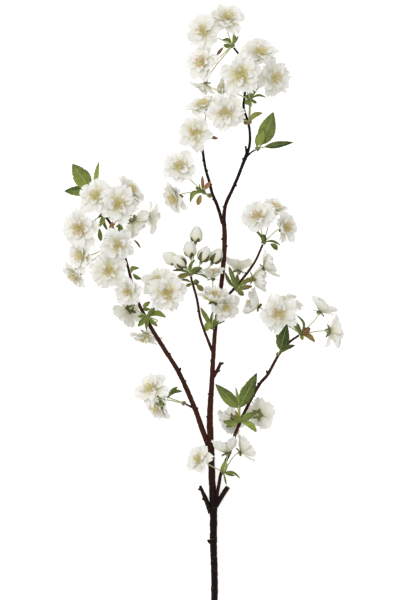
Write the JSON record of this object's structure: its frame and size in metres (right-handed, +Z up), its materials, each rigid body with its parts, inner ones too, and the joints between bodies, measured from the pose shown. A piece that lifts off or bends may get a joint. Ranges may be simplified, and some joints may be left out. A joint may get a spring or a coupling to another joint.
{
  "type": "cherry blossom sprig",
  "caption": "Cut flowering sprig of double white cherry: forked woody branch, stalked blooms in clusters on its spurs, buds and young toothed leaves. Lies on a surface.",
  "frame": {"origin": "on the surface that the sprig lies on, under the middle of its bounding box", "axes": "+Y along the sprig from its cut end to its furthest blooms, +Z up from the surface, +X to the right seen from above with the tip away"},
  "size_m": [0.3099, 0.6782, 0.0788],
  "materials": {
    "bark": "satin bark with pores",
    "green": "satin leaf",
    "petal": "matt petal"
  },
  "bodies": {
    "root": {"bloom_b3": "petal", "bloom_b4": "petal", "bloom_b5": "petal", "bloom_b6": "petal", "bloom_c1": "petal", "bloom_c2": "petal", "bloom_c3": "petal", "bloom_d1": "petal", "bloom_d2": "petal", "bloom_d3": "petal", "bloom_d4": "petal", "bloom_d5": "petal", "bloom_d6": "petal", "bloom_d7": "petal", "bloom_e1": "petal", "bloom_e2": "petal", "bloom_e3": "petal", "bloom_e4": "petal", "bloom_e5": "petal", "bloom_f1": "petal", "bloom_f2": "petal", "bloom_f3": "petal", "bloom_i1": "petal", "bloom_i2": "petal", "bloom_i3": "petal", "bloom_j1": "petal", "bloom_j2": "petal", "bloom_j3": "petal", "bloom_k1": "petal", "bloom_k2": "petal", "bloom_k3": "petal", "bloom_l1": "petal", "bloom_l2": "petal", "bloom_l3": "petal", "bloom_l4": "petal", "bloom_l5": "petal", "bloom_m1": "petal", "bloom_m2": "petal", "bloom_n1": "petal", "bloom_n2": "petal", "bloom_n3": "petal", "branch": "bark", "spray_a": "petal", "spray_b": "green", "spray_buds": "green", "spray_c": "green", "spray_d": "green", "spray_e": "green", "spray_f": "green", "spray_g": "green", "spray_h": "petal", "spray_i": "green", "spray_j": "green", "spray_k": "green", "spray_l": "green", "spray_m": "green", "spray_n": "green", "spray_r": "green", "spray_v": "green", "spray_w": "petal"}
  },
  "joints": []
}
